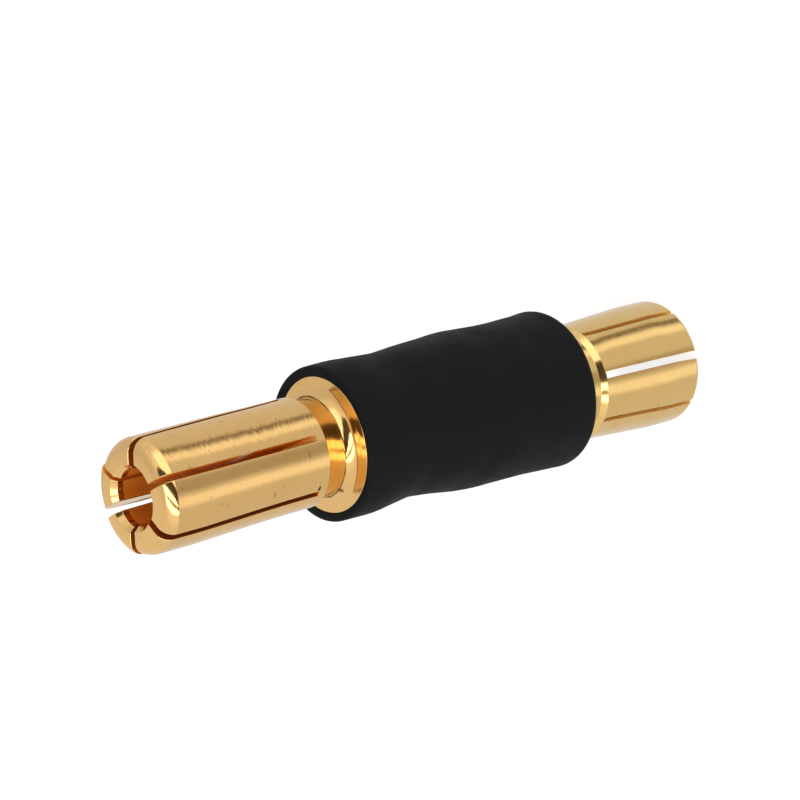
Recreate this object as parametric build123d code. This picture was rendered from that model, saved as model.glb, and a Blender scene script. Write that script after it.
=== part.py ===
from build123d import *

import os
from math import cos, radians, sin, sqrt, tan

# A rigid male-to-male bullet adapter: a small and a large slotted contact, soldered shank in cup
# and covered by a shrink sleeve. Sizes are in millimetres. +Z runs along the axis, and z = 0 is
# the end face of the large contact, on which the adapter stands.
#
# Each contact is drawn in a frame of its own, with the origin in the middle of its collar face
# and +Z towards its tip, and is then turned and moved to its place.

# Front contact: the small pin
FRONT_PIN_LENGTH = 11.45          # tip to collar face
FRONT_CONTACT_DIAMETER = 5.76     # over the relaxed contact band
FRONT_BAND_LENGTH = 3.15          # straight contact band behind the tip rounding
FRONT_TIP_RADIUS = 0.70           # rounding of the tip
FRONT_ROOT_DIAMETER = 5.56        # over the finger roots
FRONT_ROOT_LENGTH = 2.60          # straight root, from the shoulder to where the fingers flare
FRONT_SHOULDER_CHAMFER = 0.08     # edge break round the back of the fingers
FRONT_NECK_DIAMETER = 4.84        # beside the collar
FRONT_NECK_SPREAD = 0.15          # how far the neck widens up to the fingers, on the radius
FRONT_NECK_LENGTH = 1.70          # collar face to the back of the fingers
FRONT_NECK_CORNER = 0.45          # hollow corner between neck and collar face
FRONT_BORE_DIAMETER = 2.80
FRONT_COUNTERSINK_DIAMETER = 3.32
FRONT_SLOT_COUNT = 6
FRONT_SLOT_WIDTH = 0.30
FRONT_SLOT_WEB = 0.55             # ring left whole between the slots and the back of the fingers
FRONT_SLOT_TURN = 40.0            # clocking of the first slot from +X, degrees

# Front contact: collar and solder shank
FRONT_COLLAR_DIAMETER = 7.00
FRONT_COLLAR_LENGTH = 3.20
FRONT_COLLAR_CHAMFER = 0.10
SHANK_DIAMETER = 5.60
SHANK_CHAMFER = 0.40

# Rear contact: the large pin
REAR_PIN_LENGTH = 8.45            # tip to the end face of the cup body
REAR_CONTACT_DIAMETER = 6.78      # over the relaxed contact band
REAR_BAND_LENGTH = 1.60           # straight contact band behind the tip rounding
REAR_TIP_RADIUS = 0.30            # rounding of the tip
REAR_ROOT_DIAMETER = 6.31         # over the finger roots
REAR_ROOT_LENGTH = 0.30           # straight root, from the cone to where the fingers flare
REAR_NECK_DIAMETER = 5.77
REAR_NECK_LENGTH = 1.40           # cup body to the cone that leads up to the fingers
REAR_NECK_CORNER = 0.25           # hollow corner between neck and cup body
REAR_CONE_LENGTH = 0.27           # polished cone between neck and finger roots
REAR_BORE_DIAMETER = 3.60
REAR_COUNTERSINK_DIAMETER = 4.20
REAR_SLOT_COUNT = 8
REAR_SLOT_WIDTH = 0.35
REAR_SLOT_WEB = 0.03              # ring left whole between the cone's top edge and the slots

# Rear contact: solder cup
CUP_BODY_DIAMETER = 7.40
CUP_BODY_LENGTH = 8.10
CUP_BORE_DIAMETER = 6.00
CUP_BORE_DEPTH = 6.20
CUP_MOUTH_BEVEL = 0.50            # length of the bevel outside the cup's mouth
CUP_MOUTH_BEVEL_DEPTH = 0.30      # how far that bevel takes the radius down
CUP_MOUTH_CHAMFER = 0.20          # lead-in inside the mouth, under the solder fillet

# Slitting saw that cuts the slots of both contacts, one slot at a time
SAW_RADIUS = 10.0
SAW_OFFSET = 3.60                 # saw centre beyond the finger roots

# Drill that makes the bores of both contacts
DRILL_POINT_ANGLE = 118.0
BORE_PAST_ROOT = 0.30             # straight bore wall beyond the roots of the fingers

# Solder joint between shank and cup
JOINT_GAP = 3.80                  # bare shank between front collar and cup mouth
SOLDER_UNDER_SHANK = 0.60         # solder below the end of the shank
SOLDER_FILLET = 0.55              # height of the solder fillet on the shank

# Heat-shrink sleeve
SLEEVE_FRONT_WALL = 0.42          # over the front collar
SLEEVE_WAIST_DIAMETER = 7.58      # outside, where the sleeve sinks over the bare shank
SLEEVE_WAIST_WALL = 0.42
SLEEVE_WAIST_DISTANCE = 1.00      # waist behind the front collar
SLEEVE_SHOULDER_LENGTH = 1.30     # straight stretch over the front collar, from the front rim
SLEEVE_REAR_WALL = 0.41           # over the cup body
SLEEVE_REAR_RISE = 1.60           # how far past the cup mouth the sleeve reaches its full size
SLEEVE_FLARE = 0.10               # how far the rear end stands prouder, on the radius
SLEEVE_FLARE_LENGTH = 2.30        # over which it comes up
SLEEVE_FRONT_RIM = 0.30           # broken corner of the front rim
SLEEVE_REAR_RIM = 0.45            # broken corner of the rear rim

# Heights of the faces that the pieces share
REAR_FACE_Z = REAR_PIN_LENGTH
CUP_MOUTH_Z = REAR_FACE_Z + CUP_BODY_LENGTH
CUP_BOTTOM_Z = CUP_MOUTH_Z - CUP_BORE_DEPTH
COLLAR_BACK_Z = CUP_MOUTH_Z + JOINT_GAP
FRONT_FACE_Z = COLLAR_BACK_Z + FRONT_COLLAR_LENGTH
SHANK_END_Z = CUP_BOTTOM_Z + SOLDER_UNDER_SHANK

# Radii that the pieces share
COLLAR_RADIUS = FRONT_COLLAR_DIAMETER / 2
SHANK_RADIUS = SHANK_DIAMETER / 2
CUP_BODY_RADIUS = CUP_BODY_DIAMETER / 2
CUP_BORE_RADIUS = CUP_BORE_DIAMETER / 2


def arc_points(centre, radius, start, end):
    """Start, middle and end of an arc round a centre, from one angle to another, in degrees."""
    points = []
    for angle in (start, (start + end) / 2, end):
        turn = radians(angle)
        points.append((centre[0] + radius * cos(turn), centre[1] + radius * sin(turn)))
    return points


def arc(centre, radius, start, end):
    """Round stretch of an outline."""
    return ThreePointArc(*arc_points(centre, radius, start, end))


def flats(centre, radius, start, end):
    """Small corner of an outline, broken by two flats instead of a round."""
    return Polyline(*arc_points(centre, radius, start, end))


def ease(start, end):
    """Smooth step between two stretches that run along the axis."""
    along = (0, 1 if end[1] > start[1] else -1)
    return Spline(start, end, tangents=(along, along))


def turned(edges):
    """Solid turned from a closed outline of edges drawn as (radius, height)."""
    return revolve(Plane.XZ * make_face(Curve() + edges), axis=Axis.Z)


def drill_point_z(bore_radius, bottom_z):
    """Height of the drill point below the end of a bore's straight wall."""
    return bottom_z - bore_radius / tan(radians(DRILL_POINT_ANGLE / 2))


def pin_bore(bore_radius, countersink_radius, bottom_z, tip_z):
    """Outline of the blind bore in a pin, from its drill point to the countersink's edge."""
    countersink_depth = countersink_radius - bore_radius
    return Polyline(
        (0, drill_point_z(bore_radius, bottom_z)),
        (bore_radius, bottom_z),
        (bore_radius, tip_z - countersink_depth),
        (countersink_radius, tip_z),
    )


def finger_outline(countersink_radius, tip_z, tip_radius, contact_radius, band_length,
                   root_radius, root_end_z, root_start_z):
    """Outline of the fingers' outside, from the countersink's edge to the back of the root."""
    face_radius = contact_radius - tip_radius
    band_end_z = tip_z - tip_radius
    band_start_z = band_end_z - band_length
    return [
        Line((countersink_radius, tip_z), (face_radius, tip_z)),
        arc((face_radius, band_end_z), tip_radius, 90, 0),
        Polyline(
            (contact_radius, band_end_z),
            (contact_radius, band_start_z),
            (root_radius, root_end_z),
            (root_radius, root_start_z),
        ),
    ]


def neck_outline(top_radius, shoulder_z, neck_radius, corner, face_radius):
    """Outline of the neck, from the shoulder to the outer edge of the collar face at z = 0."""
    return [
        Line((top_radius, shoulder_z), (neck_radius, corner)),
        flats((neck_radius + corner, corner), corner, 180, 270),
        Line((neck_radius + corner, 0), (face_radius, 0)),
    ]


def slot_cut(width, root_radius, end_z, tip_z, reach):
    """One saw cut: it runs out along the saw's rim, and is longest at the finger's surface."""
    saw_x = root_radius + SAW_OFFSET
    saw_z = end_z + sqrt(SAW_RADIUS**2 - SAW_OFFSET**2)

    def rim(radius):
        return radius, saw_z - sqrt(SAW_RADIUS**2 - (saw_x - radius)**2)

    past_tip_z = tip_z + 1.0
    outline = [
        ThreePointArc(rim(0), rim(reach / 2), rim(reach)),
        Polyline(rim(reach), (reach, past_tip_z), (0, past_tip_z), rim(0)),
    ]
    return extrude(Plane.XZ * make_face(Curve() + outline), amount=width / 2, both=True)


def slotted(blank, cut, count, first_turn):
    """The blank with the cut repeated evenly round its axis."""
    for index in range(count):
        blank -= Rot(0, 0, first_turn + index * 360 / count) * cut
    return blank


def front_contact():
    """Small contact: fingers, neck, collar and the shank that is soldered into the cup."""
    root_radius = FRONT_ROOT_DIAMETER / 2
    contact_radius = FRONT_CONTACT_DIAMETER / 2
    neck_radius = FRONT_NECK_DIAMETER / 2
    neck_top_radius = neck_radius + FRONT_NECK_SPREAD
    bore_radius = FRONT_BORE_DIAMETER / 2
    countersink_radius = FRONT_COUNTERSINK_DIAMETER / 2
    root_start_z = FRONT_NECK_LENGTH + FRONT_SHOULDER_CHAMFER
    bore_bottom_z = FRONT_NECK_LENGTH - BORE_PAST_ROOT
    shank_end_z = SHANK_END_Z - FRONT_FACE_Z

    fingers = finger_outline(countersink_radius, FRONT_PIN_LENGTH, FRONT_TIP_RADIUS, contact_radius,
                             FRONT_BAND_LENGTH, root_radius, FRONT_NECK_LENGTH + FRONT_ROOT_LENGTH,
                             root_start_z)
    shoulder = Polyline(
        (root_radius, root_start_z),
        (root_radius - FRONT_SHOULDER_CHAMFER, FRONT_NECK_LENGTH),
        (neck_top_radius, FRONT_NECK_LENGTH),
    )
    neck = neck_outline(neck_top_radius, FRONT_NECK_LENGTH, neck_radius, FRONT_NECK_CORNER,
                        COLLAR_RADIUS - FRONT_COLLAR_CHAMFER)
    collar_and_shank = Polyline(
        (COLLAR_RADIUS - FRONT_COLLAR_CHAMFER, 0),
        (COLLAR_RADIUS, -FRONT_COLLAR_CHAMFER),
        (COLLAR_RADIUS, -FRONT_COLLAR_LENGTH),
        (SHANK_RADIUS, -FRONT_COLLAR_LENGTH),
        (SHANK_RADIUS, shank_end_z + SHANK_CHAMFER),
        (SHANK_RADIUS - SHANK_CHAMFER, shank_end_z),
        (0, shank_end_z),
        (0, drill_point_z(bore_radius, bore_bottom_z)),
    )
    bore = pin_bore(bore_radius, countersink_radius, bore_bottom_z, FRONT_PIN_LENGTH)
    blank = turned([bore, *fingers, shoulder, *neck, collar_and_shank])

    cut = slot_cut(FRONT_SLOT_WIDTH, root_radius, FRONT_NECK_LENGTH + FRONT_SLOT_WEB,
                   FRONT_PIN_LENGTH, COLLAR_RADIUS)
    contact = slotted(blank, cut, FRONT_SLOT_COUNT, FRONT_SLOT_TURN)
    return Pos(0, 0, FRONT_FACE_Z) * contact


def rear_contact():
    """Large contact: fingers, cone, neck and the body with the solder cup."""
    root_radius = REAR_ROOT_DIAMETER / 2
    contact_radius = REAR_CONTACT_DIAMETER / 2
    neck_radius = REAR_NECK_DIAMETER / 2
    bore_radius = REAR_BORE_DIAMETER / 2
    countersink_radius = REAR_COUNTERSINK_DIAMETER / 2
    cone_top_z = REAR_NECK_LENGTH + REAR_CONE_LENGTH
    bore_bottom_z = cone_top_z - BORE_PAST_ROOT
    cup_bottom_z = CUP_BORE_DEPTH - CUP_BODY_LENGTH

    fingers = finger_outline(countersink_radius, REAR_PIN_LENGTH, REAR_TIP_RADIUS, contact_radius,
                             REAR_BAND_LENGTH, root_radius, cone_top_z + REAR_ROOT_LENGTH,
                             cone_top_z)
    cone = Line((root_radius, cone_top_z), (neck_radius, REAR_NECK_LENGTH))
    neck = neck_outline(neck_radius, REAR_NECK_LENGTH, neck_radius, REAR_NECK_CORNER,
                        CUP_BODY_RADIUS)
    cup = Polyline(
        (CUP_BODY_RADIUS, 0),
        (CUP_BODY_RADIUS, CUP_MOUTH_BEVEL - CUP_BODY_LENGTH),
        (CUP_BODY_RADIUS - CUP_MOUTH_BEVEL_DEPTH, -CUP_BODY_LENGTH),
        (CUP_BORE_RADIUS + CUP_MOUTH_CHAMFER, -CUP_BODY_LENGTH),
        (CUP_BORE_RADIUS, CUP_MOUTH_CHAMFER - CUP_BODY_LENGTH),
        (CUP_BORE_RADIUS, cup_bottom_z),
        (0, cup_bottom_z),
        (0, drill_point_z(bore_radius, bore_bottom_z)),
    )
    bore = pin_bore(bore_radius, countersink_radius, bore_bottom_z, REAR_PIN_LENGTH)
    blank = turned([bore, *fingers, cone, *neck, cup])

    cut = slot_cut(REAR_SLOT_WIDTH, root_radius, cone_top_z + REAR_SLOT_WEB, REAR_PIN_LENGTH,
                   CUP_BODY_RADIUS)
    contact = slotted(blank, cut, REAR_SLOT_COUNT, 0)
    return Pos(0, 0, REAR_FACE_Z) * Rot(180, 0, 0) * contact


def solder_joint():
    """Solder that fills the cup below and round the shank, with a fillet at the mouth."""
    outline = Polyline(
        (0, CUP_BOTTOM_Z),
        (CUP_BORE_RADIUS, CUP_BOTTOM_Z),
        (CUP_BORE_RADIUS, CUP_MOUTH_Z - CUP_MOUTH_CHAMFER),
        (CUP_BORE_RADIUS + CUP_MOUTH_CHAMFER, CUP_MOUTH_Z),
        (SHANK_RADIUS, CUP_MOUTH_Z + SOLDER_FILLET),
        (SHANK_RADIUS, SHANK_END_Z + SHANK_CHAMFER),
        (SHANK_RADIUS - SHANK_CHAMFER, SHANK_END_Z),
        (0, SHANK_END_Z),
        close=True,
    )
    return turned([outline])


def heat_shrink_sleeve():
    """Sleeve shrunk over both bodies: it sinks to a waist where only the thin shank is below."""
    front_radius = COLLAR_RADIUS + SLEEVE_FRONT_WALL
    waist_radius = SLEEVE_WAIST_DIAMETER / 2
    waist_inside = waist_radius - SLEEVE_WAIST_WALL
    rear_radius = CUP_BODY_RADIUS + SLEEVE_REAR_WALL
    flare_radius = rear_radius + SLEEVE_FLARE
    shoulder_z = FRONT_FACE_Z - SLEEVE_FRONT_RIM - SLEEVE_SHOULDER_LENGTH
    waist_z = COLLAR_BACK_Z - SLEEVE_WAIST_DISTANCE
    rise_end_z = CUP_MOUTH_Z - SLEEVE_REAR_RISE
    flare_end_z = REAR_FACE_Z + SLEEVE_REAR_RIM
    flare_start_z = flare_end_z + SLEEVE_FLARE_LENGTH
    inner_rise_end_z = CUP_MOUTH_Z - CUP_MOUTH_BEVEL
    front_rim_radius = front_radius - SLEEVE_FRONT_RIM
    rear_rim_radius = flare_radius - SLEEVE_REAR_RIM

    outside = [
        Line((COLLAR_RADIUS, FRONT_FACE_Z), (front_rim_radius, FRONT_FACE_Z)),
        flats((front_rim_radius, FRONT_FACE_Z - SLEEVE_FRONT_RIM), SLEEVE_FRONT_RIM, 90, 0),
        Line((front_radius, FRONT_FACE_Z - SLEEVE_FRONT_RIM), (front_radius, shoulder_z)),
        ease((front_radius, shoulder_z), (waist_radius, waist_z)),
        ease((waist_radius, waist_z), (rear_radius, rise_end_z)),
        Polyline(
            (rear_radius, rise_end_z),
            (rear_radius, flare_start_z),
            (flare_radius, flare_end_z),
        ),
        flats((rear_rim_radius, flare_end_z), SLEEVE_REAR_RIM, 0, -90),
    ]
    inside = Polyline(
        (rear_rim_radius, REAR_FACE_Z),
        (CUP_BODY_RADIUS, REAR_FACE_Z),
        (CUP_BODY_RADIUS, inner_rise_end_z),
        (waist_inside, waist_z),
        (COLLAR_RADIUS, COLLAR_BACK_Z),
        (COLLAR_RADIUS, FRONT_FACE_Z),
    )
    return turned([*outside, inside])


PIECES = {
    "front_contact": front_contact,
    "rear_contact": rear_contact,
    "solder_joint": solder_joint,
    "heat_shrink_sleeve": heat_shrink_sleeve,
}

os.makedirs("parts", exist_ok=True)
for node, make in PIECES.items():
    export_step(make(), f"parts/{node}.step")
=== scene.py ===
from math import asin, atan2, ceil, cos, degrees, hypot, pi, radians, sin, sqrt

import bpy
import numpy as np
from mathutils import Matrix, Vector


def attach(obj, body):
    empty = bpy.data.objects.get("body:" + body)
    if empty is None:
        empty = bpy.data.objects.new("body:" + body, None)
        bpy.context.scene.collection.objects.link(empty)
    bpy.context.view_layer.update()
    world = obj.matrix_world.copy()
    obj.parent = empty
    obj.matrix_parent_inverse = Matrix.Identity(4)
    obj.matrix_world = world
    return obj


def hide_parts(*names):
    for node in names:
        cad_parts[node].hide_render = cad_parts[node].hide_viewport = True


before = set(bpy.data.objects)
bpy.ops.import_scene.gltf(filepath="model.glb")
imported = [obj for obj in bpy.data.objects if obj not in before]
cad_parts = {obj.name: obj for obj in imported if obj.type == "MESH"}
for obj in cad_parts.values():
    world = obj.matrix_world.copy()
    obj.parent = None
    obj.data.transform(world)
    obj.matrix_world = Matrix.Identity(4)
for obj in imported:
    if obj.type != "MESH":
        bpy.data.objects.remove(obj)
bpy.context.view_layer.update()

# Adapter of two slotted contacts, a smaller one in front and a larger one at the rear, soldered
# together under a shrink sleeve. It stands on the larger contact, and the camera looks at its -Y
# side with +X upwards. Sizes are in millimetres, as in the solids, and become metres where a mesh is
# made.
MM = 0.001

# Shared heights
SHANK_END_Z = 10.95
REAR_FACE_Z = 8.45
CUP_MOUTH_Z = 16.55
COLLAR_BACK_Z = 20.35
FRONT_FACE_Z = 23.55

# Shared radii
COLLAR_RADIUS = 3.50
CUP_BODY_RADIUS = 3.70

# Slitting saw: its radius, and how far its centre lies beyond the roots of the fingers
SAW_RADIUS = 10.0
SAW_OFFSET = 3.60

# Corner radii of edges and chamfers that are only broken
FINE_BREAK = 0.03
BREAK = 0.05

# Material indexes of a contact's faces. The inside, the darker slot walls and the lit slot walls
# have painted shade and light.
PLATE, INSIDE, SAW_FLOOR, SHADED_SLOT, LIT = range(5)


# ---------------------------------------------------------------- outlines
SAME_POINT = 1e-6
SAME_NORMAL = 1e-3
LEAST_CORNER_STEPS = 3


def outline(points, step=0.30, turn=7.0):
    """Rows (radius, height, normal) along a chain of (radius, height, corner radius) points.

    step: longest stretch between two rows. turn: largest turn between them in a corner, degrees.
    """
    rows = []

    def add(r, z, nr, nz):
        if rows and hypot(rows[-1][0] - r, rows[-1][1] - z) < SAME_POINT:
            if hypot(rows[-1][2] - nr, rows[-1][3] - nz) < SAME_NORMAL:
                return
        rows.append((r, z, nr, nz))

    def run(a, b):
        length = hypot(b[0] - a[0], b[1] - a[1])
        if length < SAME_POINT:
            return
        normal = ((b[1] - a[1]) / length, -(b[0] - a[0]) / length)
        count = max(1, ceil(length / step))
        for i in range(count + 1):
            t = i / count
            add(a[0] + (b[0] - a[0]) * t, a[1] + (b[1] - a[1]) * t, *normal)

    last = points[0][:2]
    for before, here, after in zip(points, points[1:], points[2:]):
        into = Vector((here[0] - before[0], here[1] - before[1])).normalized()
        out = Vector((after[0] - here[0], after[1] - here[1])).normalized()
        bend = atan2(into.x * out.y - into.y * out.x, into.dot(out))
        corner = here[2]
        if corner <= 0 or abs(bend) < SAME_POINT:
            run(last, here[:2])
            last = here[:2]
            continue
        start = Vector(here[:2]) - into * corner * abs(sin(bend / 2) / cos(bend / 2))
        run(last, tuple(start))
        side = 1 if bend > 0 else -1
        centre = start + Vector((-into.y, into.x)) * corner * side
        count = max(LEAST_CORNER_STEPS, ceil(degrees(abs(bend)) / turn),
                    ceil(abs(bend) * corner / step))
        for i in range(count + 1):
            arm = Matrix.Rotation(bend * i / count, 2) @ (start - centre)
            normal = arm.normalized() * side
            add(centre.x + arm.x, centre.y + arm.y, normal.x, normal.y)
        last = (rows[-1][0], rows[-1][1])
    run(last, points[-1][:2])
    return np.array(rows)


def row_at(rows, radius, height):
    """Index of the row nearest to a place."""
    return int(np.argmin(np.hypot(rows[:, 0] - radius, rows[:, 1] - height)))


# ---------------------------------------------------------------- meshes
# Points that fall on the same step of this grid become one: steps per millimetre
WELD_STEPS = 2e4


class Skin:
    """Collects patches with their normals, and joins them into one closed mesh."""

    def __init__(self):
        self.points = []
        self.normals = []
        self.faces = []
        self.materials = []

    def grid(self, points, normals, materials=None):
        """points, normals: rows x columns x 3. materials: index for each row of faces."""
        rows, columns = points.shape[:2]
        first = len(self.points)
        self.points.extend(points.reshape(-1, 3))
        self.normals.extend(normals.reshape(-1, 3))
        for i in range(rows - 1):
            for j in range(columns - 1):
                a = first + i * columns + j
                self.faces.append((a, a + 1, a + columns + 1, a + columns))
                self.materials.append(PLATE if materials is None else int(materials[i]))

    def polygon(self, points, normal, material):
        first = len(self.points)
        self.points.extend(points)
        self.normals.extend([normal] * len(points))
        self.faces.append(tuple(range(first, first + len(points))))
        self.materials.append(material)

    def build(self, name):
        points = np.array(self.points)
        keys = np.round(points * WELD_STEPS).astype(np.int64)
        _, firsts, joined = np.unique(keys, axis=0, return_index=True, return_inverse=True)
        joined = joined.reshape(-1)
        faces = []
        corners = []
        materials = []
        for face, material in zip(self.faces, self.materials):
            kept = [v for k, v in enumerate(face) if joined[v] != joined[face[k - 1]]]
            if len(kept) < 3:
                continue
            # A face's front is the side that its normals stand on.
            ring = points[kept]
            facing = np.cross(ring, np.roll(ring, -1, 0)).sum(0)
            if facing @ np.sum([self.normals[v] for v in kept], 0) < 0:
                kept.reverse()
            faces.append([int(joined[v]) for v in kept])
            corners.extend(kept)
            materials.append(material)
        piece = smooth_piece(name, points[firsts], faces)
        piece.data.polygons.foreach_set("material_index", materials)
        normals = np.array(self.normals)[corners]
        normals /= np.linalg.norm(normals, axis=1, keepdims=True)
        piece.data.normals_split_custom_set(normals.tolist())
        return piece


def smooth_piece(name, points, faces):
    mesh = bpy.data.meshes.new(name)
    mesh.from_pydata((points * MM).tolist(), [], faces)
    mesh.polygons.foreach_set("use_smooth", [True] * len(faces))
    piece = bpy.data.objects.new(name, mesh)
    bpy.context.scene.collection.objects.link(piece)
    return piece


# ---------------------------------------------------------------- contacts
FINGER_COLUMNS = 25
SLOT_COLUMNS = 5
RUN_OUT_ROWS = 9
RUN_OUT_FACES_IN_LIGHT = 3      # of the faces along a slot's end, counted from the surface
MOUTH_DEPTH = 0.5               # below the tip, where the inside of the bore begins
EDGE_FADE = 0.15                # how far from a slot's end its edges are eased in full
STRAIGHT_SHARE = 0.1            # of a finger's length, from its root, that doesn't bend
LEAST_RADIUS = 0.8              # of the bore's, where a row on the axis would divide by nothing
SWAY_SAMPLES = 400

# Across an eased edge: share of the easing to the side and down the wall, and how far the normal
# has turned from the turned surface to the wall
EASED_EDGE = ((1.0, 0.0, 0.0), (0.29, 0.29, 0.5), (0.0, 1.0, 1.0))


def saw_run_out(root_radius, end_z, radius):
    """Height of the slot's end at a radius: the saw's rim, longest at the finger's surface."""
    saw_z = end_z + sqrt(SAW_RADIUS**2 - SAW_OFFSET**2)
    return saw_z - sqrt(SAW_RADIUS**2 - (root_radius + SAW_OFFSET - radius) ** 2)


class Contact(Skin):
    """Turned contact with saw-slotted fingers.

    rows: outline from the middle of the back, round the tip, to the bottom of the bore.
    slots: (turn at the root, turn at the tip, width at the root, width at the tip) of each.
    edge: how far the edges of the slots are eased.
    spread: how far (x, y) each finger's tip stands off its round.
    walls: material index of each slot's walls. bright_end: the slot whose end lies in the light.
    """

    def __init__(self, rows, slots, root_radius, slot_end, bore_radius, tip_z, edge, spread,
                 walls, bright_end):
        super().__init__()
        self.slots, self.spread, self.walls, self.bright_end = slots, spread, walls, bright_end
        self.root_radius, self.bore_radius = root_radius, bore_radius
        self.slot_end, self.tip_z = slot_end, tip_z
        self.count = len(slots)
        r, z, self.nr, self.nz = rows.T
        self.r, self.z = r, z
        # The rows at both ends of the slots
        inner_end = saw_run_out(root_radius, slot_end, bore_radius)
        self.first = row_at(rows, root_radius, slot_end)
        self.last = row_at(rows, bore_radius, inner_end)
        index = np.arange(len(rows))
        self.slotted = (index >= self.first) & (index <= self.last)
        self.safe = np.maximum(r, LEAST_RADIUS * bore_radius)
        # The edges of the slots are eased, and the easing fades where the saw runs out.
        from_end = np.where(index < (self.first + self.last) / 2, z - slot_end, z - inner_end)
        self.ease = np.where(self.slotted, edge * np.clip(from_end / EDGE_FADE, 0, 1), 0.0)
        mouth = row_at(rows, bore_radius, tip_z - MOUTH_DEPTH)
        self.along_rows = np.where(index[:-1] >= mouth, INSIDE, PLATE)

        for k in range(self.count):
            self.finger(k)
            self.beside_slot(k)
            self.wall(k, 1)
            self.wall(k, -1)
            self.end(k)

    def climb(self, height):
        """0 at the end of the slots, 1 at the tip."""
        return np.clip((height - self.slot_end) / (self.tip_z - self.slot_end), 0, 1)

    def slot_at(self, k, height):
        """Middle angle and half width of a slot at heights."""
        turn, tip_turn, width, tip_width = self.slots[k % self.count]
        t = self.climb(height)
        lap = 2 * pi * (k // self.count)
        return (radians(turn) + radians(tip_turn - turn) * t + lap,
                (width + (tip_width - width) * t) / 2)

    def half_angle(self, half):
        return np.arcsin(half / self.safe)

    def stand_off(self, k, height):
        """Offset of a finger at heights: it bends from its root."""
        t = np.clip((self.climb(height) - STRAIGHT_SHARE) / (1 - STRAIGHT_SHARE), 0, 1)
        return t[:, None]**2 * np.array([*self.spread[k % self.count], 0])

    def ring(self, angles):
        """Points and normals of the turned surface at angles given per row and column."""
        c, s = np.cos(angles), np.sin(angles)
        r, z, nr, nz = (values[:, None] for values in (self.r, self.z, self.nr, self.nz))
        return (np.stack([r * c, r * s, np.repeat(z, c.shape[1], 1)], 2),
                np.stack([nr * c, nr * s, np.repeat(nz, c.shape[1], 1)], 2))

    def finger(self, k):
        """Finger after a slot, and the turned surface in line with it."""
        centre, half = self.slot_at(k, self.z)
        next_centre, next_half = self.slot_at(k + 1, self.z)
        low = centre + self.half_angle(half) + self.ease / self.safe
        high = next_centre - self.half_angle(next_half) - self.ease / self.safe
        t = np.linspace(0, 1, FINGER_COLUMNS)
        points, normals = self.ring(low[:, None] + (high - low)[:, None] * t)
        bent = self.stand_off(k, np.where(self.slotted, self.z, self.slot_end))
        self.grid(points + bent[:, None], normals, self.along_rows)

    def beside_slot(self, k):
        """Turned surface in line with a slot, behind it and at the bottom of the bore."""
        centre, half = self.slot_at(k, self.z)
        t = np.linspace(-1, 1, SLOT_COLUMNS)
        points, normals = self.ring(centre[:, None] + self.half_angle(half)[:, None] * t)
        self.grid(points[:self.first + 1], normals[:self.first + 1])
        self.grid(points[self.last:], normals[self.last:], self.along_rows[self.last:])

    def wall(self, k, side):
        """One side wall of a slot, with eased edges."""
        use = slice(self.first, self.last + 1)
        r, z, nr, nz, ease, safe = (values[use] for values in (self.r, self.z, self.nr, self.nz,
                                                               self.ease, self.safe))
        centre, half = self.slot_at(k, z)
        outwards = np.stack([np.cos(centre), np.sin(centre), 0 * z], 1)
        across = np.stack([-np.sin(centre), np.cos(centre), 0 * z], 1) * side
        strip = []
        strip_normals = []
        for lateral, depth, turned in EASED_EDGE:
            out = half + ease * lateral
            if lateral == 1.0:
                out = r * np.sin(np.arcsin(half / safe) + ease / safe)
            rr = r - nr * ease * depth
            reach = np.sqrt(np.maximum(rr**2 - out**2, 0))
            point = outwards * reach[:, None] + across * out[:, None]
            point[:, 2] = z - nz * ease * depth
            strip.append(point + self.stand_off(k if side > 0 else k - 1, z))
            surface_normal = np.concatenate([nr[:, None] * point[:, :2] / rr[:, None],
                                             nz[:, None]], 1)
            mixed = surface_normal * (1 - turned) - across * turned
            strip_normals.append(mixed / np.linalg.norm(mixed, axis=1, keepdims=True))
        self.grid(np.stack(strip, 1), np.stack(strip_normals, 1))

        run_out = []
        for radius in np.linspace(self.bore_radius, self.root_radius, RUN_OUT_ROWS)[1:-1]:
            height = saw_run_out(self.root_radius, self.slot_end, radius)
            a, w = self.slot_at(k, height)
            reach = sqrt(radius**2 - w**2)
            run_out.append(np.array([reach * cos(a) - side * w * sin(a),
                                     reach * sin(a) + side * w * cos(a), height]))
        self.polygon(list(strip[-1]) + run_out, -across[(self.last - self.first) // 2],
                     self.walls[k])

    def end(self, k):
        """End of a slot, as the saw leaves it."""
        points = []
        normals = []
        for radius in np.linspace(self.bore_radius, self.root_radius, RUN_OUT_ROWS):
            height = saw_run_out(self.root_radius, self.slot_end, radius)
            a, w = self.slot_at(k, height)
            slope = (self.root_radius + SAW_OFFSET - radius) / SAW_RADIUS
            turns = a + asin(w / radius) * np.linspace(-1, 1, SLOT_COLUMNS)
            points.append([(radius * cos(v), radius * sin(v), height) for v in turns])
            normals.append([(slope * cos(a), slope * sin(a), sqrt(1 - slope**2))] * SLOT_COLUMNS)
        in_shade = [INSIDE] * (RUN_OUT_ROWS - 1 - RUN_OUT_FACES_IN_LIGHT)
        in_light = [SAW_FLOOR if k == self.bright_end else self.walls[k]] * RUN_OUT_FACES_IN_LIGHT
        self.grid(np.array(points), np.array(normals), in_shade + in_light)

    def sway(self, table):
        """Bends the axis through the (height, x, y) points of a table."""
        points = np.array(self.points)
        normals = np.array(self.normals)
        heights, *shifts = np.array(table).T
        line = np.linspace(heights[0], heights[-1], SWAY_SAMPLES)
        for axis, shift in enumerate(shifts):
            slope = np.gradient(np.interp(line, heights, shift), line)
            normals[:, 2] -= normals[:, axis] * np.interp(points[:, 2], line, slope)
            points[:, axis] += np.interp(points[:, 2], heights, shift)
        self.points, self.normals = list(points), list(normals)

    def place(self, matrix):
        turn = np.array(matrix.to_3x3()).T
        self.points = list(np.array(self.points) @ turn + np.array(matrix.translation))
        self.normals = list(np.array(self.normals) @ turn)


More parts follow.
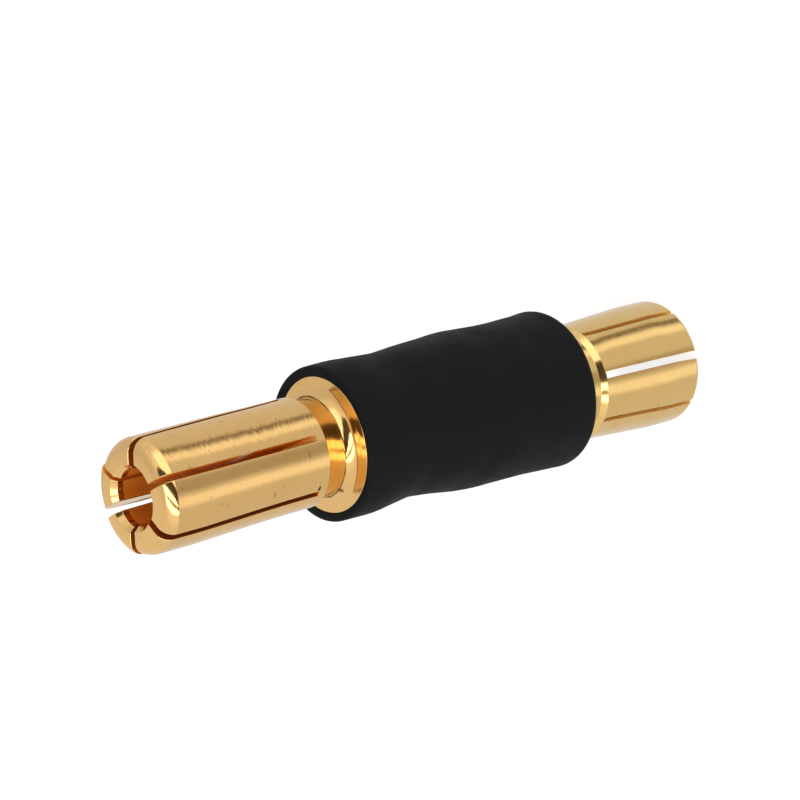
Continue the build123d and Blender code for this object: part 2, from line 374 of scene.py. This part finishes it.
# Front contact: collar face at z = 0 of its own frame, tip towards +z
FRONT_SHANK_RADIUS = 2.80
FRONT_SHANK_CHAMFER = 0.40
FRONT_COLLAR_CHAMFER = 0.06
FRONT_NECK_RADIUS = 2.42
FRONT_NECK_CORNER = 0.58        # hollow corner beside the collar
FRONT_NECK_WIDENS = 1.08        # height from which the neck widens to the fingers
FRONT_NECK_CURVE = 4.4
FRONT_NECK_SPREAD = 0.17        # by how much
FRONT_NECK_LENGTH = 1.70
FRONT_SHOULDER_CHAMFER = 0.08   # at the back of the fingers
FRONT_SHOULDER_CORNER = 0.04
FRONT_ROOT_RADIUS = 2.785
FRONT_SLOT_END = 2.25
FRONT_CONTACT_RADIUS = 2.88
FRONT_FLARE = (4.20, 9.30)      # heights between which the fingers flare
FRONT_FLARE_CURVE = 25
FRONT_TIP_Z = 11.45
FRONT_TIP_RADIUS = 0.70         # rounding of the tip
FRONT_COUNTERSINK_RADIUS = 1.66
FRONT_COUNTERSINK_DEPTH = 0.26
FRONT_BORE_RADIUS = 1.40
FRONT_BORE_END = 1.40           # where the drill point begins
FRONT_DRILL_POINT = 0.62
SHANK_END = SHANK_END_Z - FRONT_FACE_Z
COLLAR_BACK = COLLAR_BACK_Z - FRONT_FACE_Z

front_rows = outline([
    (0, SHANK_END, 0),
    (FRONT_SHANK_RADIUS - FRONT_SHANK_CHAMFER, SHANK_END, BREAK),
    (FRONT_SHANK_RADIUS, SHANK_END + FRONT_SHANK_CHAMFER, BREAK),
    (FRONT_SHANK_RADIUS, COLLAR_BACK, BREAK),
    (COLLAR_RADIUS, COLLAR_BACK, BREAK),
    (COLLAR_RADIUS, -FRONT_COLLAR_CHAMFER, FINE_BREAK),
    (COLLAR_RADIUS - FRONT_COLLAR_CHAMFER, 0, FINE_BREAK),
    (FRONT_NECK_RADIUS, 0, FRONT_NECK_CORNER),
    (FRONT_NECK_RADIUS, FRONT_NECK_WIDENS, FRONT_NECK_CURVE),
    (FRONT_NECK_RADIUS + FRONT_NECK_SPREAD, FRONT_NECK_LENGTH, FINE_BREAK),
    (FRONT_ROOT_RADIUS - FRONT_SHOULDER_CHAMFER, FRONT_NECK_LENGTH, FINE_BREAK),
    (FRONT_ROOT_RADIUS, FRONT_NECK_LENGTH + FRONT_SHOULDER_CHAMFER, FRONT_SHOULDER_CORNER),
    (FRONT_ROOT_RADIUS, FRONT_SLOT_END, 0),
    (FRONT_ROOT_RADIUS, FRONT_FLARE[0], FRONT_FLARE_CURVE),
    (FRONT_CONTACT_RADIUS, FRONT_FLARE[1], FRONT_FLARE_CURVE),
    (FRONT_CONTACT_RADIUS, FRONT_TIP_Z, FRONT_TIP_RADIUS),
    (FRONT_COUNTERSINK_RADIUS, FRONT_TIP_Z, BREAK),
    (FRONT_BORE_RADIUS, FRONT_TIP_Z - FRONT_COUNTERSINK_DEPTH, BREAK),
    (FRONT_BORE_RADIUS, saw_run_out(FRONT_ROOT_RADIUS, FRONT_SLOT_END, FRONT_BORE_RADIUS), 0),
    (FRONT_BORE_RADIUS, FRONT_BORE_END, 0),
    (0, FRONT_DRILL_POINT, 0),
])
front_skin = Contact(
    front_rows,
    slots=((44, 47, 0.30, 0.30), (100, 100, 0.30, 0.30), (160, 160, 0.30, 0.30),
           (218.9, 218.5, 0.32, 0.31), (280.2, 280.0, 0.31, 0.32), (351.0, 338.6, 0.41, 0.38)),
    root_radius=FRONT_ROOT_RADIUS, slot_end=FRONT_SLOT_END, bore_radius=FRONT_BORE_RADIUS,
    # Walls of slots that lie darker get painted shade, and the slot lit through gets painted light.
    tip_z=FRONT_TIP_Z, edge=0.04, walls=(INSIDE, PLATE, SHADED_SLOT, SHADED_SLOT, LIT, SHADED_SLOT), bright_end=4,
    spread=((0.06, 0.20), (-0.10, 0.24), (0, 0.14), (0, 0), (0, 0), (-0.08, 0.10)))
# It sits slightly askew, so its axis doesn't run quite straight.
front_skin.sway(((-13, 0, 0), (-7.5, 0, 0), (-3.2, 0.05, 0.02), (0, 0.085, 0.03),
                 (1.7, 0.03, 0.015), (3.0, 0.01, 0.01), (6, -0.03, 0), (9, -0.09, -0.01),
                 (12, -0.10, -0.01)))
front_skin.place(Matrix.Translation((0, 0, FRONT_FACE_Z)))
front = front_skin.build("front_contact_turned")

# Rear contact: end face of its body at z = 0 of its own frame, tip towards +z, then turned over
REAR_CUP_RADIUS = 3.00
REAR_CUP_FLOOR = -1.90
REAR_CUP_CHAMFER = 0.20         # lead-in of the cup
REAR_MOUTH_BEVEL = (0.30, 0.50)     # outside the cup's mouth: depth and length
REAR_BODY_BREAK = 0.06
REAR_NECK_RADIUS = 2.96
REAR_NECK_CORNER = 0.25         # hollow corner beside the body
REAR_CONE = (1.33, 1.67)        # heights between which the neck widens to the fingers
REAR_ROOT_RADIUS = 3.155
REAR_SLOT_END = 1.70
REAR_CONTACT_RADIUS = 3.39
REAR_FLARE = (2.30, 6.55)       # heights between which the fingers flare
REAR_FLARE_CURVE = 12
REAR_TIP_Z = 8.45
REAR_TIP_RADIUS = 0.30          # rounding of the tip
REAR_COUNTERSINK_RADIUS = 2.10
REAR_COUNTERSINK_DEPTH = 0.30
REAR_BORE_RADIUS = 1.80
REAR_BORE_END = 1.37            # where the drill point begins
REAR_DRILL_POINT = 0.29
CUP_MOUTH = REAR_FACE_Z - CUP_MOUTH_Z

rear_rows = outline([
    (0, REAR_CUP_FLOOR, 0),
    (REAR_CUP_RADIUS, REAR_CUP_FLOOR, BREAK),
    (REAR_CUP_RADIUS, CUP_MOUTH + REAR_CUP_CHAMFER, FINE_BREAK),
    (REAR_CUP_RADIUS + REAR_CUP_CHAMFER, CUP_MOUTH, FINE_BREAK),
    (CUP_BODY_RADIUS - REAR_MOUTH_BEVEL[0], CUP_MOUTH, BREAK),
    (CUP_BODY_RADIUS, CUP_MOUTH + REAR_MOUTH_BEVEL[1], BREAK),
    (CUP_BODY_RADIUS, 0, REAR_BODY_BREAK),
    (REAR_NECK_RADIUS, 0, REAR_NECK_CORNER),
    (REAR_NECK_RADIUS, REAR_CONE[0], BREAK),
    (REAR_ROOT_RADIUS, REAR_CONE[1], FINE_BREAK),
    (REAR_ROOT_RADIUS, REAR_SLOT_END, 0),
    (REAR_ROOT_RADIUS, REAR_FLARE[0], REAR_FLARE_CURVE),
    (REAR_CONTACT_RADIUS, REAR_FLARE[1], REAR_FLARE_CURVE),
    (REAR_CONTACT_RADIUS, REAR_TIP_Z, REAR_TIP_RADIUS),
    (REAR_COUNTERSINK_RADIUS, REAR_TIP_Z, BREAK),
    (REAR_BORE_RADIUS, REAR_TIP_Z - REAR_COUNTERSINK_DEPTH, BREAK),
    (REAR_BORE_RADIUS, saw_run_out(REAR_ROOT_RADIUS, REAR_SLOT_END, REAR_BORE_RADIUS), 0),
    (REAR_BORE_RADIUS, REAR_BORE_END, 0),
    (0, REAR_DRILL_POINT, 0),
])
rear_skin = Contact(
    rear_rows,
    slots=((0, 0, 0.33, 0.33), (41.6, 44.8, 0.27, 0.27), (90.7, 92.6, 0.39, 0.44),
           (138.2, 140.0, 0.27, 0.25), (180, 180, 0.33, 0.33), (225, 225, 0.35, 0.35),
           (269.3, 267.4, 0.47, 0.52), (315, 315, 0.35, 0.35)),
    root_radius=REAR_ROOT_RADIUS, slot_end=REAR_SLOT_END, bore_radius=REAR_BORE_RADIUS,
    tip_z=REAR_TIP_Z, edge=0.035, walls=(INSIDE,) * 8, bright_end=None,
    spread=((0, 0),) * 8)
rear_skin.place(Matrix.Translation((0, 0, REAR_FACE_Z)) @ Matrix.Rotation(pi, 4, "X"))
rear = rear_skin.build("rear_contact_turned")


# ---------------------------------------------------------------- shrink sleeve
SLEEVE_COLUMNS = 240
SLEEVE_WALL = 0.35              # distance off the metal at which a row counts as outside
SLEEVE_REAR_RADIUS = 4.21
SLEEVE_REAR_ROUNDING = 0.42
SLEEVE_FRONT_RADIUS = 3.96
SLEEVE_FRONT_ROUNDING = 0.19
SLEEVE_FRONT_STEP = 0.07        # how far its front stands over the collar's face
SLEEVE_WAIST_Z = 19.35          # where the sleeve sinks deepest over the bare shank
SLEEVE_WAIST_INNER = 3.37
SLEEVE_OVER_CUP_Z = 16.05       # up to here it lies on the cup's body
SLEEVE_FACE_STEP = 0.15         # from the cup's body to where the rear end's outline begins
SLEEVE_LIP = 0.04               # how far the front rim's inner edge laps over the collar
SLEEVE_LIP_CLEARANCE = 0.005    # between that edge and the collar's face
SLEEVE_LIP_DEPTH = 0.05         # from the collar's face to where the sleeve grips its side
SLEEVE_REAR_EDGE = 0.06         # rounding of the rear end's inner edge

# Outside, between its ends: over the cup's body, in at the waist and out over the collar
SLEEVE_OUTSIDE = ((4.11, 11.20, 6), (4.12, 14.80, 9), (3.76, 19.30, 2.2), (3.95, 21.90, 5))

sleeve_rows = outline([
    (CUP_BODY_RADIUS + SLEEVE_FACE_STEP, REAR_FACE_Z, 0),
    (SLEEVE_REAR_RADIUS, REAR_FACE_Z, SLEEVE_REAR_ROUNDING),
    *SLEEVE_OUTSIDE,
    (SLEEVE_FRONT_RADIUS, FRONT_FACE_Z + SLEEVE_FRONT_STEP, SLEEVE_FRONT_ROUNDING),
    (COLLAR_RADIUS - SLEEVE_LIP, FRONT_FACE_Z + SLEEVE_LIP, SLEEVE_LIP),
    (COLLAR_RADIUS - SLEEVE_LIP, FRONT_FACE_Z + SLEEVE_LIP_CLEARANCE, 0),
    (COLLAR_RADIUS, FRONT_FACE_Z - SLEEVE_LIP_DEPTH, 0),
    (COLLAR_RADIUS, COLLAR_BACK_Z, 0),
    (SLEEVE_WAIST_INNER, SLEEVE_WAIST_Z, 0),
    (CUP_BODY_RADIUS, SLEEVE_OVER_CUP_Z, 0),
    (CUP_BODY_RADIUS, REAR_FACE_Z, SLEEVE_REAR_EDGE),
    (CUP_BODY_RADIUS + SLEEVE_FACE_STEP, REAR_FACE_Z, 0),
], step=0.12, turn=12)

# The rest are (height, value) tables.
SLEEVE_INNER = ((REAR_FACE_Z, CUP_BODY_RADIUS), (SLEEVE_OVER_CUP_Z, CUP_BODY_RADIUS),
                (SLEEVE_WAIST_Z, SLEEVE_WAIST_INNER), (COLLAR_BACK_Z, COLLAR_RADIUS),
                (FRONT_FACE_Z, COLLAR_RADIUS))
# How far it stands off towards +X, on the metal (which sways) and outside
SEAT_OFF = ((16.0, 0), (COLLAR_BACK_Z, 0.05), (FRONT_FACE_Z, 0.085))
OUTSIDE_OFF = ((8.45, 0.03), (10.0, 0.09), (13.0, 0.16), (16.0, 0.18), (19.3, 0.22),
               (21.5, 0.15), (23.55, 0.14))
# How far its front stands off towards +Y
FRONT_OFF = ((21.5, 0), (FRONT_FACE_Z, 0.14))
# How far its +X side and its -X side stand out
BULGE_UP = ((REAR_FACE_Z, 0.05), (9.5, -0.05), (10.6, -0.05), (12.4, -0.09), (15.2, -0.04),
            (16.5, 0))
BULGE_DOWN = ((9, 0), (11, 0.04), (15.5, 0.05), (17, 0))
# A dent in the front rim, at a turn from +X, and how narrow it is
RIM_DENT = ((22.3, 0), (FRONT_FACE_Z, 0.07))
RIM_DENT_TURN = 12
RIM_DENT_POWER = 8
# How much longer its rear end is on the +X side, and the share of the wall that isn't
REAR_LONGER = ((REAR_FACE_Z, 0.13), (9.6, 0))
REAR_EVEN_SHARE = 0.3

# Unevenness all over: size, lobes, climb per millimetre and phase. That of both ends: size, lobes
# and phase.
WAVES = ((0.012, 2, 0.9, 0.0), (0.008, 3, -1.3, 1.0), (0.006, 5, 2.1, 2.0))
END_WAVES = ((0.02, 2, 1.0), (0.015, 3, 0.0))
MIDDLE_Z = 16
MIDDLE_REACH = 6                # the ends' unevenness doesn't come nearer to the middle than this


def sleeve():
    """The sleeve's outline turned round, out of round as the shrinking left it."""
    angle = np.linspace(0, 2 * pi, SLEEVE_COLUMNS, endpoint=False)
    r, z = sleeve_rows[:-1, 0], sleeve_rows[:-1, 1]
    a, h = np.meshgrid(angle, z)
    up, down = np.clip(np.cos(a), 0, 1)**2, np.clip(-np.cos(a), 0, 1)**2

    def along(table):
        """Values of a table at the heights of the rows, as a column."""
        heights, values = np.array(table).T
        return np.interp(z, heights, values)[:, None]

    # 0 on the metal, 1 outside
    outside = np.clip((r[:, None] - along(SLEEVE_INNER)) / SLEEVE_WALL, 0, 1)
    off = along(SEAT_OFF) + outside * (along(OUTSIDE_OFF) - along(SEAT_OFF))
    bulge = sum(size * np.sin(lobes * a + rise * h + phase) for size, lobes, rise, phase in WAVES)
    bulge = bulge + outside * (along(BULGE_UP) * up + along(BULGE_DOWN) * down)
    dent = np.clip(np.cos(a - radians(RIM_DENT_TURN)), 0, 1)**RIM_DENT_POWER
    bulge = bulge - along(RIM_DENT) * dent
    radius = (r[:, None] + off * np.cos(a) + outside * along(FRONT_OFF) * np.sin(a)
              + outside * bulge)
    ends = (outside > 0) * (np.abs(h - MIDDLE_Z) > MIDDLE_REACH)
    height = h + ends * sum(size * np.sin(lobes * a + phase) for size, lobes, phase in END_WAVES)
    # The rear end isn't cut square.
    height = height - (outside > REAR_EVEN_SHARE) * along(REAR_LONGER) * up

    count = len(z)
    faces = []
    for i in range(count):
        for j in range(SLEEVE_COLUMNS):
            row, next_row = i * SLEEVE_COLUMNS, (i + 1) % count * SLEEVE_COLUMNS
            beside = (j + 1) % SLEEVE_COLUMNS
            faces.append((row + j, row + beside, next_row + beside, next_row + j))
    points = np.stack([radius * np.cos(a), radius * np.sin(a), height], 2).reshape(-1, 3)
    return smooth_piece("heat_shrink_tube", points, faces)


tube = sleeve()


# ---------------------------------------------------------------- materials
class Nodes:
    """Short names for the nodes of one material or world."""

    def __init__(self, tree):
        self.tree = tree
        tree.nodes.clear()

    def add(self, kind, **settings):
        node = self.tree.nodes.new(kind)
        for key, value in settings.items():
            setattr(node, key, value)
        return node

    def put(self, socket, value):
        if isinstance(value, bpy.types.NodeSocket):
            self.tree.links.new(value, socket)
        else:
            socket.default_value = value

    def math(self, operation, a, b=0.0, c=0.0):
        node = self.add("ShaderNodeMath", operation=operation)
        for socket, value in zip(node.inputs, (a, b, c)):
            self.put(socket, value)
        return node.outputs[0]

    def times(self, a, b):
        return self.math("MULTIPLY", a, b)

    def step(self, value, low, high, to_low=0.0, to_high=1.0):
        """to_low up to low, to_high from high on."""
        node = self.add("ShaderNodeMapRange", interpolation_type="SMOOTHSTEP")
        for socket, given in zip(node.inputs, (value, low, high, to_low, to_high)):
            self.put(socket, given)
        return node.outputs[0]

    def window(self, value, a, b, c, d):
        """0 up to a, 1 from b to c, and 0 from d on."""
        return self.times(self.step(value, a, b), self.step(value, c, d, 1.0, 0.0))

    def axes(self, vector):
        node = self.add("ShaderNodeSeparateXYZ")
        self.put(node.inputs[0], vector)
        return node.outputs

    def place(self, scale=(1, 1, 1)):
        """Object coordinates in millimetres, stretched."""
        coordinates = self.add("ShaderNodeTexCoord")
        node = self.add("ShaderNodeMapping")
        self.put(node.inputs["Vector"], coordinates.outputs["Object"])
        self.put(node.inputs["Scale"], tuple(s / MM for s in scale))
        return node.outputs[0]

    def noise(self, scale, detail, roughness=0.5):
        """scale: how many bumps or so per millimetre along each axis."""
        node = self.add("ShaderNodeTexNoise")
        self.put(node.inputs["Vector"], self.place(scale))
        self.put(node.inputs["Scale"], 1.0)
        self.put(node.inputs["Detail"], detail)
        self.put(node.inputs["Roughness"], roughness)
        return node.outputs[0]

    def blend(self, factor, low, high):
        """Colour between two, each given as a socket or as red, green and blue."""
        node = self.add("ShaderNodeMix", data_type="RGBA")
        self.put(node.inputs[0], factor)
        for socket, value in ((node.inputs[6], low), (node.inputs[7], high)):
            self.put(socket, value if isinstance(value, bpy.types.NodeSocket) else (*value, 1))
        return node.outputs[2]

    def spot(self, centre, size):
        """1 in the middle of an egg-shaped spot and 0 from its edge on, in millimetres."""
        node = self.add("ShaderNodeVectorMath", operation="SUBTRACT")
        self.put(node.inputs[0], self.place())
        self.put(node.inputs[1], centre)
        scaled = self.add("ShaderNodeVectorMath", operation="DIVIDE")
        self.put(scaled.inputs[0], node.outputs[0])
        self.put(scaled.inputs[1], size)
        length = self.add("ShaderNodeVectorMath", operation="LENGTH")
        self.put(length.inputs[0], scaled.outputs[0])
        return self.step(length.outputs["Value"], 0.5, 1.0, 1.0, 0.0)

    def bump(self, height, distance):
        node = self.add("ShaderNodeBump")
        self.put(node.inputs["Height"], height)
        self.put(node.inputs["Distance"], distance)
        self.put(node.inputs["Strength"], 1.0)
        return node.outputs[0]


def new_material(name):
    """A material with a plain shader: the material, its nodes and the shader's sockets."""
    material = bpy.data.materials.new(name)
    material.use_nodes = True
    n = Nodes(material.node_tree)
    shader = n.add("ShaderNodeBsdfPrincipled")
    out = n.add("ShaderNodeOutputMaterial")
    n.put(out.inputs[0], shader.outputs[0])
    return material, n, shader.inputs


def shade(colour, *shares):
    """Colour with its red, green and blue each multiplied by a share."""
    return tuple(part * share for part, share in zip(colour, shares))


TARNISH = (0.50, 0.27, 0.10)
DAYLIGHT_ON_GOLD = (1, 0.86, 0.55)
LIT_BY_MOUTH = (32.0, 33.6)     # heights between which the front bore comes into the light


def gold(name, colour, groove, brush, marks=()):
    """Gold plate on turned metal.

    groove: depth of the turning marks. brush: how much of it is in broad bands.
    marks: (centre, size, colour) of spots, painted shade among them.
    """
    material, n, shader = new_material(name)
    n.put(shader["Metallic"], 1.0)
    # A little uneven, with darker tarnish specks
    tint = n.blend(n.noise((0.6, 0.6, 0.6), 3),
                   shade(colour, 0.95, 0.93, 0.88), shade(colour, 1.04, 1.05, 1.08))
    specks = n.step(n.noise((2.4, 2.4, 2.4), 1), 0.70, 0.76, 0.0, 0.4)
    tint = n.blend(specks, tint, TARNISH)
    # Spots laid over it, some of them painted shade
    for centre, size, dark in marks:
        tint = n.blend(n.spot(centre, size), tint, dark)
    n.put(shader["Base Color"], tint)
    n.put(shader["Roughness"], n.step(n.noise((1.2, 1.2, 6), 3), 0.3, 0.7, 0.10, 0.16))
    # Turning marks
    broad = n.noise((0.2, 0.2, 3), 1)
    coarse = n.noise((0.25, 0.25, 7), 2, 0.6)
    fine = n.noise((0.6, 0.6, 25), 1, 0.6)
    height = n.math("MULTIPLY_ADD", fine, 0.35, n.math("MULTIPLY_ADD", broad, brush, coarse))
    n.put(shader["Normal"], n.bump(height, groove * MM))
    return material


def gold_inside(name, colour, deep=None, glint=None):
    """Gold in the bore and the slots, where light gets in only after several bounces; its colour
    paints in the shade and the reddened light of those bounces.

    deep: colour below the mouth, where the fingers light each other through the slots.
    glint: height at which daylight comes through from the slot across the bore.
    """
    material, n, shader = new_material(name)
    n.put(shader["Metallic"], 0.55)
    n.put(shader["Specular IOR Level"], 0.0)
    tint = n.blend(n.noise((0.8, 0.8, 0.8), 3),
                   shade(colour, 0.94, 0.92, 0.90), shade(colour, 1.06, 1.08, 1.10))
    height = n.axes(n.place())[2]
    if deep:
        tint = n.blend(n.step(height, *LIT_BY_MOUTH, 1.0, 0.0), tint, deep)
    if glint:
        lit = n.window(height, glint - 0.5, glint - 0.2, glint + 0.2, glint + 0.5)
        tint = n.blend(lit, tint, DAYLIGHT_ON_GOLD)
    n.put(shader["Base Color"], tint)
    n.put(shader["Roughness"], 0.38)
    return material


def saw_floor(name):
    """Gold where the saw ran out of the metal: matte, and open to the light, with a diffuse share
    that paints in its reflection of the studio as light tan.
    """
    material, n, shader = new_material(name)
    n.put(shader["Metallic"], 0.75)
    n.put(shader["Specular IOR Level"], 0.0)
    n.put(shader["Base Color"], (0.72, 0.48, 0.16, 1))
    n.put(shader["Roughness"], 0.55)
    return material


def rubber(name):
    """Black shrink sleeve, matte and faintly grained."""
    material, n, shader = new_material(name)
    tone = n.noise((0.5, 0.5, 0.5), 4)
    n.put(shader["Base Color"],
          n.blend(tone, (0.0038, 0.0043, 0.0047), (0.0056, 0.0062, 0.0067)))
    n.put(shader["Roughness"], n.step(tone, 0.3, 0.7, 0.55, 0.7))
    n.put(shader["Specular IOR Level"], 0.09)
    n.put(shader["Normal"], n.bump(n.noise((6, 6, 6), 3), 0.006 * MM))
    return material


def solder(name):
    """Dull grey solder."""
    material, n, shader = new_material(name)
    n.put(shader["Metallic"], 1.0)
    cloud = n.noise((1.5, 1.5, 1.5), 4)
    n.put(shader["Base Color"], n.blend(cloud, (0.45, 0.45, 0.46), (0.62, 0.62, 0.63)))
    n.put(shader["Roughness"], n.step(cloud, 0.3, 0.7, 0.25, 0.42))
    n.put(shader["Normal"], n.bump(cloud, 0.02 * MM))
    return material


# Spots painted into the front's colour: the first three, at the lower end of the neck and at the
# fingers' roots beside it, are painted shade, and the last two are darker spots on the fingers.
# Centre, size and colour of each
FRONT_SPOTS_AND_PAINTED_SHADE = (
    ((-2.34, -0.88, 23.83), (0.26, 0.20, 0.22), (0.26, 0.11, 0.04)),
    ((-2.51, 0.29, 23.79), (0.12, 0.30, 0.10), (0.36, 0.18, 0.06)),
    ((-1.92, -2.01, 25.83), (0.20, 0.20, 0.11), (0.14, 0.04, 0.01)),
    ((-1.63, -2.27, 28.67), (0.22, 0.22, 0.16), (0.62, 0.36, 0.14)),
    ((-0.20, -2.78, 26.48), (0.32, 0.30, 0.05), (0.52, 0.28, 0.10)),
)
saw_gold = saw_floor("gold_plate_saw_floor")
for piece, node, slot, materials in (
    (front, "front_contact", "gold_plate", (
        gold("gold_plate_front", (0.80, 0.505, 0.195), 0.0046, 2.0, FRONT_SPOTS_AND_PAINTED_SHADE),
        gold_inside("gold_plate_front_inside", (0.80, 0.27, 0.03), deep=(0.99, 0.52, 0.08)),
        saw_gold,
        # Walls of the slots that lie darker, painted dark as shade
        gold_inside("gold_plate_shaded_slots", (0.34, 0.068, 0.007)),
        gold_inside("gold_plate_lit_slot", (0.92, 0.38, 0.035), glint=29.9))),
    (rear, "rear_contact", "gold_plate", (
        gold("gold_plate_rear", (0.80, 0.535, 0.205), 0.0012, 0.0),
        gold_inside("gold_plate_rear_inside", (0.88, 0.56, 0.15)),
        saw_gold)),
    (tube, "heat_shrink_sleeve", "shrink_sleeve", (rubber("shrink_sleeve_matte"),)),
):
    for material in materials:
        piece.data.materials.append(material)
    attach(piece, "root")
    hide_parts(node)
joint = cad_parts["solder_joint"]
joint.data.materials.clear()
joint.data.materials.append(solder("solder_dull"))


# ---------------------------------------------------------------- studio
# All in degrees: turns are from the camera's side of the object, heights from the horizon.
STRIP_SHIFT = 4.2               # how far the low strip lies to the side
STRIP_LEAN = 0.7                # how far it leans over for each degree of height
STRIP_HEIGHT = -35              # height round which it leans
STRIP_LEAN_STOPS = -38.0        # height below which it leans no further
WINDOW_HEIGHT = 16.0            # height round which the window and its edges lean
WINDOW_LEFT = (13, 16)          # turns between which the window begins
WINDOW_RIGHT = (45, 50)         # and between which it ends
GAP_LEFT = (-29, -25)           # turns between which the dark gap to its left begins
WARM_GREY = (1, 0.86, 0.64)


def studio_world():
    """White for the camera. For the object, a soft studio: pale all round, with a dark gap and
    strips between the diffusers, which the metal shows as streaks along its length."""
    world = bpy.data.worlds.new("studio")
    world.use_nodes = True
    bpy.context.scene.world = world
    n = Nodes(world.node_tree)
    x, y, z = n.axes(n.add("ShaderNodeTexCoord").outputs["Generated"])
    turn = n.times(n.math("ARCTAN2", n.times(x, -1.0), n.times(y, -1.0)), degrees(1))
    height = n.times(n.math("ARCSINE", z), degrees(1))

    def leaning(rate):
        above_window = n.math("SUBTRACT", height, WINDOW_HEIGHT)
        return n.math("MULTIPLY_ADD", above_window, rate, turn)

    strip = n.math("ADD", n.math("ADD", turn, STRIP_SHIFT),
                   n.math("MULTIPLY_ADD", n.math("MAXIMUM", height, STRIP_LEAN_STOPS),
                          STRIP_LEAN, -STRIP_LEAN * STRIP_HEIGHT))
    window = leaning(0.6)
    gap = leaning(0.85)
    bar = n.window(leaning(0.25), 25.5, 28, 34, 36.5)
    glass = n.times(n.step(window, *WINDOW_LEFT), n.step(turn, *WINDOW_RIGHT, 1.0, 0.0))
    left_of_gap = n.step(gap, *GAP_LEFT, 1.0, 0.0)
    below = n.step(height, -28, -22, 1.0, 0.0)
    above = n.window(height, -26, -20, 66, 78)

    level = n.step(height, -60, 60, 0.77, 0.82)
    for part, where, amount in (
        # Below: a dark gap with a diffuser's bright edge beside it, and the leaning strip, also
        # with a dark gap
        (below, n.window(turn, -15, -5, 10, 20), -0.27),
        (below, n.window(turn, 18, 27, 36, 47), 0.44),
        (below, n.window(strip, -60, -55, -47, -40), 0.46),
        (below, n.window(strip, -75, -70, -64, -60), -0.50),
        # Above: the far sides, and the wall to the right of the window
        (above, n.step(turn, -115, -95, -0.06, 0.14), 1.0),
        (above, n.step(turn, 95, 120, 0.0, -0.04), 1.0),
        (above, n.window(turn, *WINDOW_RIGHT, 64, 76), 0.16),
        # Two pale strips to the left of the dark gap, fainter further up, and the gap
        (above, n.times(n.step(turn, -84, -74), left_of_gap), n.step(height, 27, 35, 0.25, 0.15)),
        (above, n.times(n.step(turn, -76, -68), left_of_gap), n.step(height, 27, 35, 0.55, 0.0)),
        (above, n.times(n.step(gap, *GAP_LEFT), n.step(window, *WINDOW_LEFT, 1.0, 0.0)), -0.86),
        # The window, and the bar across it
        (above, n.times(glass, n.math("SUBTRACT", 1.0, bar)), n.step(height, 6, 12, 4.2, 2.6)),
        (above, n.times(glass, bar), -0.78),
    ):
        level = n.math("MULTIPLY_ADD", n.times(where, part), amount, level)

    seen = n.add("ShaderNodeMix", data_type="FLOAT")
    n.put(seen.inputs[0], n.add("ShaderNodeLightPath").outputs["Is Camera Ray"])
    n.put(seen.inputs[2], level)
    n.put(seen.inputs[3], 1.0)
    background = n.add("ShaderNodeBackground")
    n.put(background.inputs["Color"], n.blend(n.step(level, 0.15, 0.75), WARM_GREY, (1, 1, 1)))
    n.put(background.inputs["Strength"], seen.outputs[0])
    out = n.add("ShaderNodeOutputWorld")
    n.put(out.inputs[0], background.outputs[0])


studio_world()

FLOOR_REACH = 3                 # metres
PAPER_GREY = (0.25, 0.25, 0.25, 1)
PAPER_GLOW = 0.82


def paper(name):
    """Grey paper that is white for the camera."""
    material = bpy.data.materials.new(name)
    material.use_nodes = True
    n = Nodes(material.node_tree)
    diffuse = n.add("ShaderNodeBsdfDiffuse")
    n.put(diffuse.inputs["Color"], PAPER_GREY)
    glow = n.add("ShaderNodeEmission")
    n.put(glow.inputs["Color"], (1, 1, 1, 1))
    n.put(glow.inputs["Strength"],
          n.times(n.add("ShaderNodeLightPath").outputs["Is Camera Ray"], PAPER_GLOW))
    both = n.add("ShaderNodeAddShader")
    n.put(both.inputs[0], diffuse.outputs[0])
    n.put(both.inputs[1], glow.outputs[0])
    out = n.add("ShaderNodeOutputMaterial")
    n.put(out.inputs[0], both.outputs[0])
    return material


floor_mesh = bpy.data.meshes.new("floor")
floor_mesh.from_pydata([(-FLOOR_REACH, -FLOOR_REACH, 0), (FLOOR_REACH, -FLOOR_REACH, 0),
                        (FLOOR_REACH, FLOOR_REACH, 0), (-FLOOR_REACH, FLOOR_REACH, 0)],
                       [], [(0, 1, 2, 3)])
floor = bpy.data.objects.new("floor", floor_mesh)
bpy.context.scene.collection.objects.link(floor)
floor_mesh.materials.append(paper("paper"))
# The metal shows the studio and not the floor.
floor.visible_glossy = False
floor.visible_diffuse = False
floor.visible_shadow = False

# ---------------------------------------------------------------- camera
LENS = 112.5
SENSOR_WIDTH = 36
VIEW_FORWARD = (0, 0.7842, -0.6206)
VIEW_RIGHT = (-0.241, -0.6023, -0.7611)
# Middle of the collar's face in the view: to the right, down and ahead of the camera
COLLAR_IN_VIEW = (-3.807, 2.302, 123.73)

camera = bpy.data.objects.new("camera", bpy.data.cameras.new("camera"))
bpy.context.scene.collection.objects.link(camera)
bpy.context.scene.camera = camera
camera.data.sensor_width = SENSOR_WIDTH
camera.data.lens = LENS
camera.data.clip_start = 0.001
camera.data.clip_end = 10
forward = Vector(VIEW_FORWARD).normalized()
right = Vector(VIEW_RIGHT)
right = (right - forward * right.dot(forward)).normalized()
down = forward.cross(right)
place = Vector((0, 0, FRONT_FACE_Z))
for axis, distance in zip((right, down, forward), COLLAR_IN_VIEW):
    place -= axis * distance
view = Matrix((right, -down, -forward)).transposed().to_4x4()
camera.matrix_world = Matrix.Translation(place * MM) @ view

bpy.context.scene.view_settings.view_transform = "Standard"
